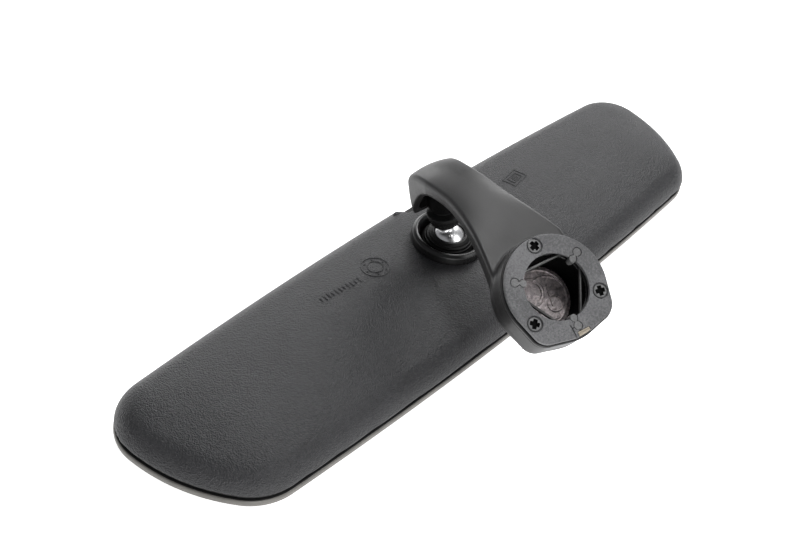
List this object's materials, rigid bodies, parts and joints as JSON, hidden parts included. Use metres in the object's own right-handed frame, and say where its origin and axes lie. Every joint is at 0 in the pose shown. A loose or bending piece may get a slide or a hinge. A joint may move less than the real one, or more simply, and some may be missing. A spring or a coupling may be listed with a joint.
{
  "type": "interior rearview mirror",
  "caption": "Long rounded interior mirror with a pillow-edged back, a ball-jointed hollow arm and a round push-on windscreen foot with a wire-spring socket.",
  "frame": {"origin": "centre of the glass face, which lies on z = 0", "axes": "+Z out of the mirror's back, +X along the glass, -Y towards the arm's windscreen foot"},
  "size_m": [0.2558, 0.0952, 0.0542],
  "materials": {
    "mirror": "bright mirror face with a ground grey edge",
    "foam_tape": "thin closed-cell foam tape",
    "carrier_black": "smooth moulded plastic",
    "zinc_steel": "zinc plated steel",
    "housing_black": "fine grained moulded plastic",
    "trim_black": "satin moulded plastic",
    "spring_steel": "bare spring steel",
    "bracket_steel": "pressed steel",
    "cup_black": "black coated steel",
    "boot_rubber": "soft ribbed rubber",
    "seat_plastic": "natural acetal",
    "chrome": "polished chrome",
    "sleeve_black": "smooth moulded plastic",
    "arm_black": "satin moulded plastic",
    "gasket_black": "soft seal",
    "cover_grey": "finely grained plastic",
    "screw_black": "black zinc screw",
    "plug_grey": "finely grained plastic",
    "cast_zinc": "raw die cast zinc",
    "tab_beige": "natural plastic"
  },
  "bodies": {
    "head": {"mirror_glass": "mirror", "glass_adhesive": "foam_tape", "glass_carrier": "carrier_black", "carrier_screws": "zinc_steel", "rear_housing": "housing_black", "socket_collar": "trim_black", "hinge_pin": "zinc_steel", "lever_pin": "zinc_steel", "detent_spring": "spring_steel"},
    "bracket": {"toggle_bracket": "bracket_steel", "ball_cup": "bracket_steel", "cup_clamp": "cup_black", "cup_rivets": "zinc_steel", "socket_boot": "boot_rubber"},
    "lever": {"day_night_lever": "trim_black"},
    "lower_seat": {"lower_seat": "seat_plastic"},
    "upper_seat": {"upper_seat": "seat_plastic"},
    "arm": {"ball_stud": "chrome", "stud_sleeve": "sleeve_black", "arm_body": "arm_black", "foot_gasket": "gasket_black", "foot_cover_plate": "cover_grey", "foot_screws": "screw_black", "spring_plugs": "plug_grey", "lock_spring": "spring_steel", "socket_disc": "cast_zinc", "release_tab": "tab_beige"}
  },
  "joints": [
    {"name": "night_tilt", "type": "hinge", "parent": "head", "child": "bracket", "pos_m": [0, -0.021, 0.0071], "axis": [1, 0, 0], "range_deg": [0, 3.2]},
    {"name": "lever_flip", "type": "hinge", "parent": "head", "child": "lever", "pos_m": [0.023, 0.0195, 0.008], "axis": [1, 0, 0], "range_deg": [-14, 0]},
    {"name": "ball_swivel", "type": "hinge", "parent": "bracket", "child": "lower_seat", "pos_m": [0, 0.0051, 0.0128], "axis": [0, 0, 1], "range_deg": [-40, 40]},
    {"name": "ball_nod", "type": "hinge", "parent": "lower_seat", "child": "upper_seat", "pos_m": [0, 0.0051, 0.0128], "axis": [0.9489, -0.3156, 0], "range_deg": [-8, 9]},
    {"name": "ball_roll", "type": "hinge", "parent": "upper_seat", "child": "arm", "pos_m": [0, 0.0051, 0.0128], "axis": [0.3156, 0.9489, 0], "range_deg": [-6, 24]}
  ],
  "couplings": [
    {"joint": "lever_flip", "follows": "night_tilt", "ratio": -4.37}
  ]
}
